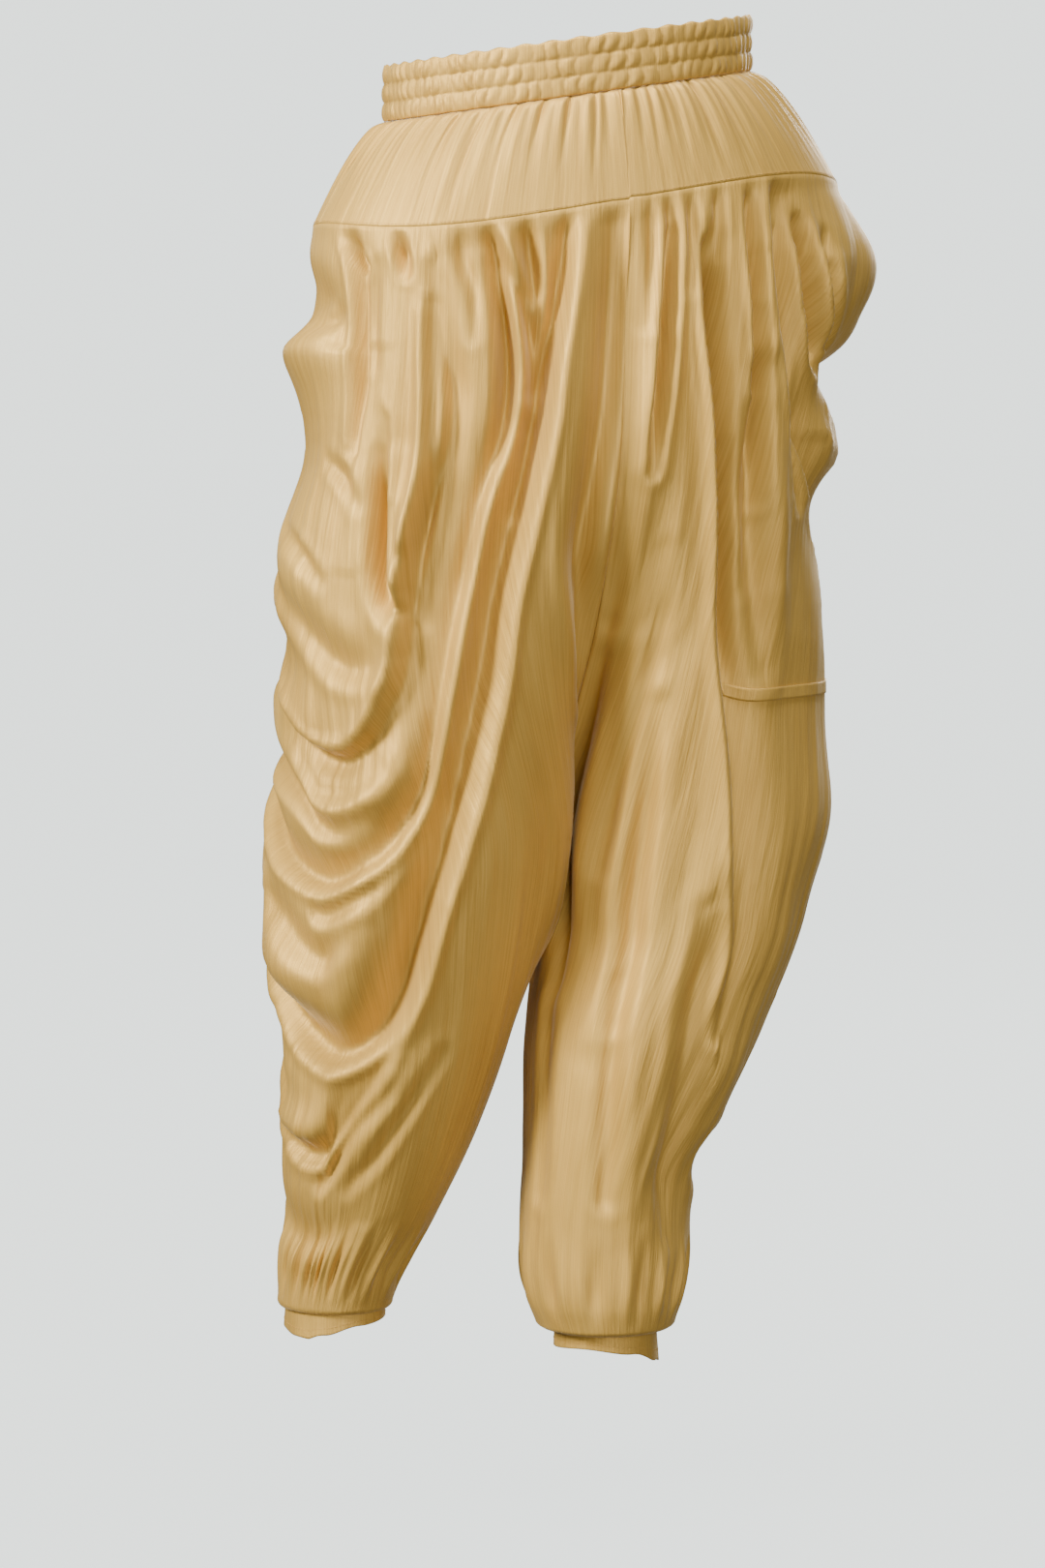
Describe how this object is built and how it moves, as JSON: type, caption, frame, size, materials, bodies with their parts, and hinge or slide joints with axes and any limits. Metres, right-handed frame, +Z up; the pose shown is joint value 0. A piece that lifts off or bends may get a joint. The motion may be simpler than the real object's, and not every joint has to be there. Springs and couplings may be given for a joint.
{
  "type": "draped dhoti trousers",
  "caption": "Ready-made draped dhoti trousers with a ruched elastic waist, low crotch, full folded legs and narrow ankle cuffs.",
  "frame": {"origin": "centre of the waist opening, at mid-height of the waistband", "axes": "+Z up, the garment's front faces -Y, the wearer's left is +X"},
  "size_m": [0.4487, 0.252, 0.9878],
  "materials": {
    "silky_cloth": "golden beige silky cloth with a soft sheen"
  },
  "bodies": {
    "root": {"waistband": "silky_cloth", "yoke_back_left": "silky_cloth", "yoke_back_right": "silky_cloth", "yoke_front": "silky_cloth", "leg_left": "silky_cloth", "leg_right": "silky_cloth", "join_strip_right": "silky_cloth", "cuff_left": "silky_cloth", "cuff_right": "silky_cloth"}
  },
  "joints": []
}
